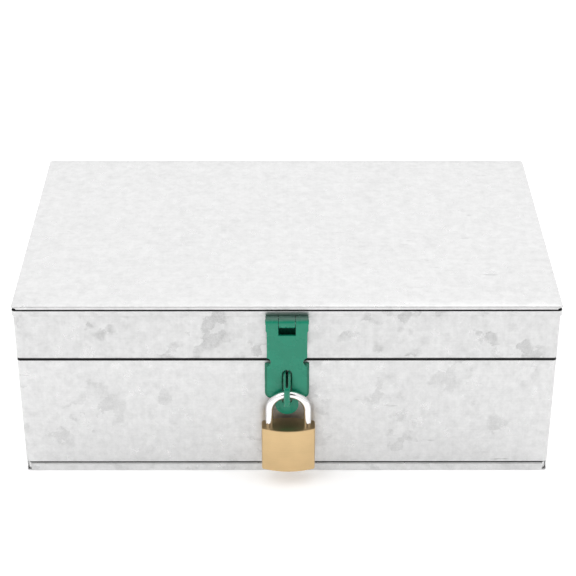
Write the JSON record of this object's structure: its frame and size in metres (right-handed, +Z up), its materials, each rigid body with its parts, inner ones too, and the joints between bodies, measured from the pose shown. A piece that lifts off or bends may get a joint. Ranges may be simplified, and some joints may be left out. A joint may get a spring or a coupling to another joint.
{
  "type": "lockable steel collection box",
  "caption": "Shallow galvanised steel box with a hinged flush lid, a green safety hasp and a small brass padlock hanging on its staple.",
  "frame": {"origin": "centre of the underside of the box, on the surface it stands on", "axes": "+X along the width to the right as seen from the front, -Y towards the front with the hasp, +Z up"},
  "size_m": [0.3012, 0.202, 0.111],
  "materials": {
    "galvanised_sheet": "galvanised, bright zinc spangle",
    "green_enamel": "glossy green enamel",
    "brushed_brass": "brushed",
    "chromed_steel": "polished",
    "zinc_plated_steel": "bright plated"
  },
  "bodies": {
    "box": {"body_walls": "galvanised_sheet", "bottom_pan": "galvanised_sheet", "staple_plate": "green_enamel", "staple": "green_enamel", "staple_plate_rivet_left": "zinc_plated_steel", "staple_plate_rivet_right": "zinc_plated_steel", "hinge_left_body_leaf": "zinc_plated_steel", "hinge_left_pin": "zinc_plated_steel", "hinge_left_body_leaf_rivet_inner": "zinc_plated_steel", "hinge_left_body_leaf_rivet_outer": "zinc_plated_steel", "hinge_right_body_leaf": "zinc_plated_steel", "hinge_right_pin": "zinc_plated_steel", "hinge_right_body_leaf_rivet_inner": "zinc_plated_steel", "hinge_right_body_leaf_rivet_outer": "zinc_plated_steel"},
    "lid": {"lid_walls": "galvanised_sheet", "lid_top": "galvanised_sheet", "hasp_leaf": "green_enamel", "hasp_leaf_rivet_left": "zinc_plated_steel", "hasp_leaf_rivet_right": "zinc_plated_steel", "hinge_left_lid_leaf": "zinc_plated_steel", "hinge_left_lid_leaf_rivet_inner": "zinc_plated_steel", "hinge_left_lid_leaf_rivet_outer": "zinc_plated_steel", "hinge_right_lid_leaf": "zinc_plated_steel", "hinge_right_lid_leaf_rivet_inner": "zinc_plated_steel", "hinge_right_lid_leaf_rivet_outer": "zinc_plated_steel"},
    "hasp": {"hasp_strap": "green_enamel", "hasp_pin": "green_enamel"},
    "shackle": {"shackle": "chromed_steel"},
    "lock_body": {"padlock_body": "brushed_brass", "plug_retainer": "zinc_plated_steel", "shackle_retainer": "zinc_plated_steel", "shackle_spring": "zinc_plated_steel", "driver_pin_1": "zinc_plated_steel", "driver_pin_2": "zinc_plated_steel", "driver_pin_3": "zinc_plated_steel", "driver_pin_4": "zinc_plated_steel", "pin_spring_1": "zinc_plated_steel", "pin_spring_2": "zinc_plated_steel", "pin_spring_3": "zinc_plated_steel", "pin_spring_4": "zinc_plated_steel", "chamber_plug_1": "brushed_brass", "chamber_plug_2": "brushed_brass", "chamber_plug_3": "brushed_brass", "chamber_plug_4": "brushed_brass"},
    "key_plug": {"key_plug": "brushed_brass", "lock_cam": "zinc_plated_steel", "key_pin_1": "brushed_brass", "key_pin_2": "brushed_brass", "key_pin_3": "brushed_brass", "key_pin_4": "brushed_brass"},
    "locking_bolt": {"locking_bolt": "zinc_plated_steel"}
  },
  "joints": [
    {"name": "lid_hinge", "type": "hinge", "parent": "box", "child": "lid", "pos_m": [0, 0.09288, 0.0766], "axis": [-1, 0, 0], "range_deg": [0, 105]},
    {"name": "hasp_hinge", "type": "hinge", "parent": "lid", "child": "hasp", "pos_m": [0, -0.09358, 0.1029], "axis": [-1, 0, 0], "range_deg": [0, 165]},
    {"name": "padlock_swing", "type": "hinge", "parent": "box", "child": "shackle", "pos_m": [0.0008, -0.09936, 0.05945], "axis": [-1, 0, 0], "range_deg": [-2, 75]},
    {"name": "shackle_release", "type": "slide", "parent": "shackle", "child": "lock_body", "axis": [0, 0, -1], "range_m": [0, 0.008]},
    {"name": "key_turn", "type": "hinge", "parent": "lock_body", "child": "key_plug", "pos_m": [0.0008, -0.09936, 0.0111], "axis": [0, 0, 1], "range_deg": [-90, 0]},
    {"name": "bolt_slide", "type": "slide", "parent": "lock_body", "child": "locking_bolt", "axis": [1, 0, 0], "range_m": [0, 0.0013]}
  ],
  "couplings": [
    {"joint": "bolt_slide", "follows": "key_turn", "m_per_rad": -0.0008276}
  ]
}
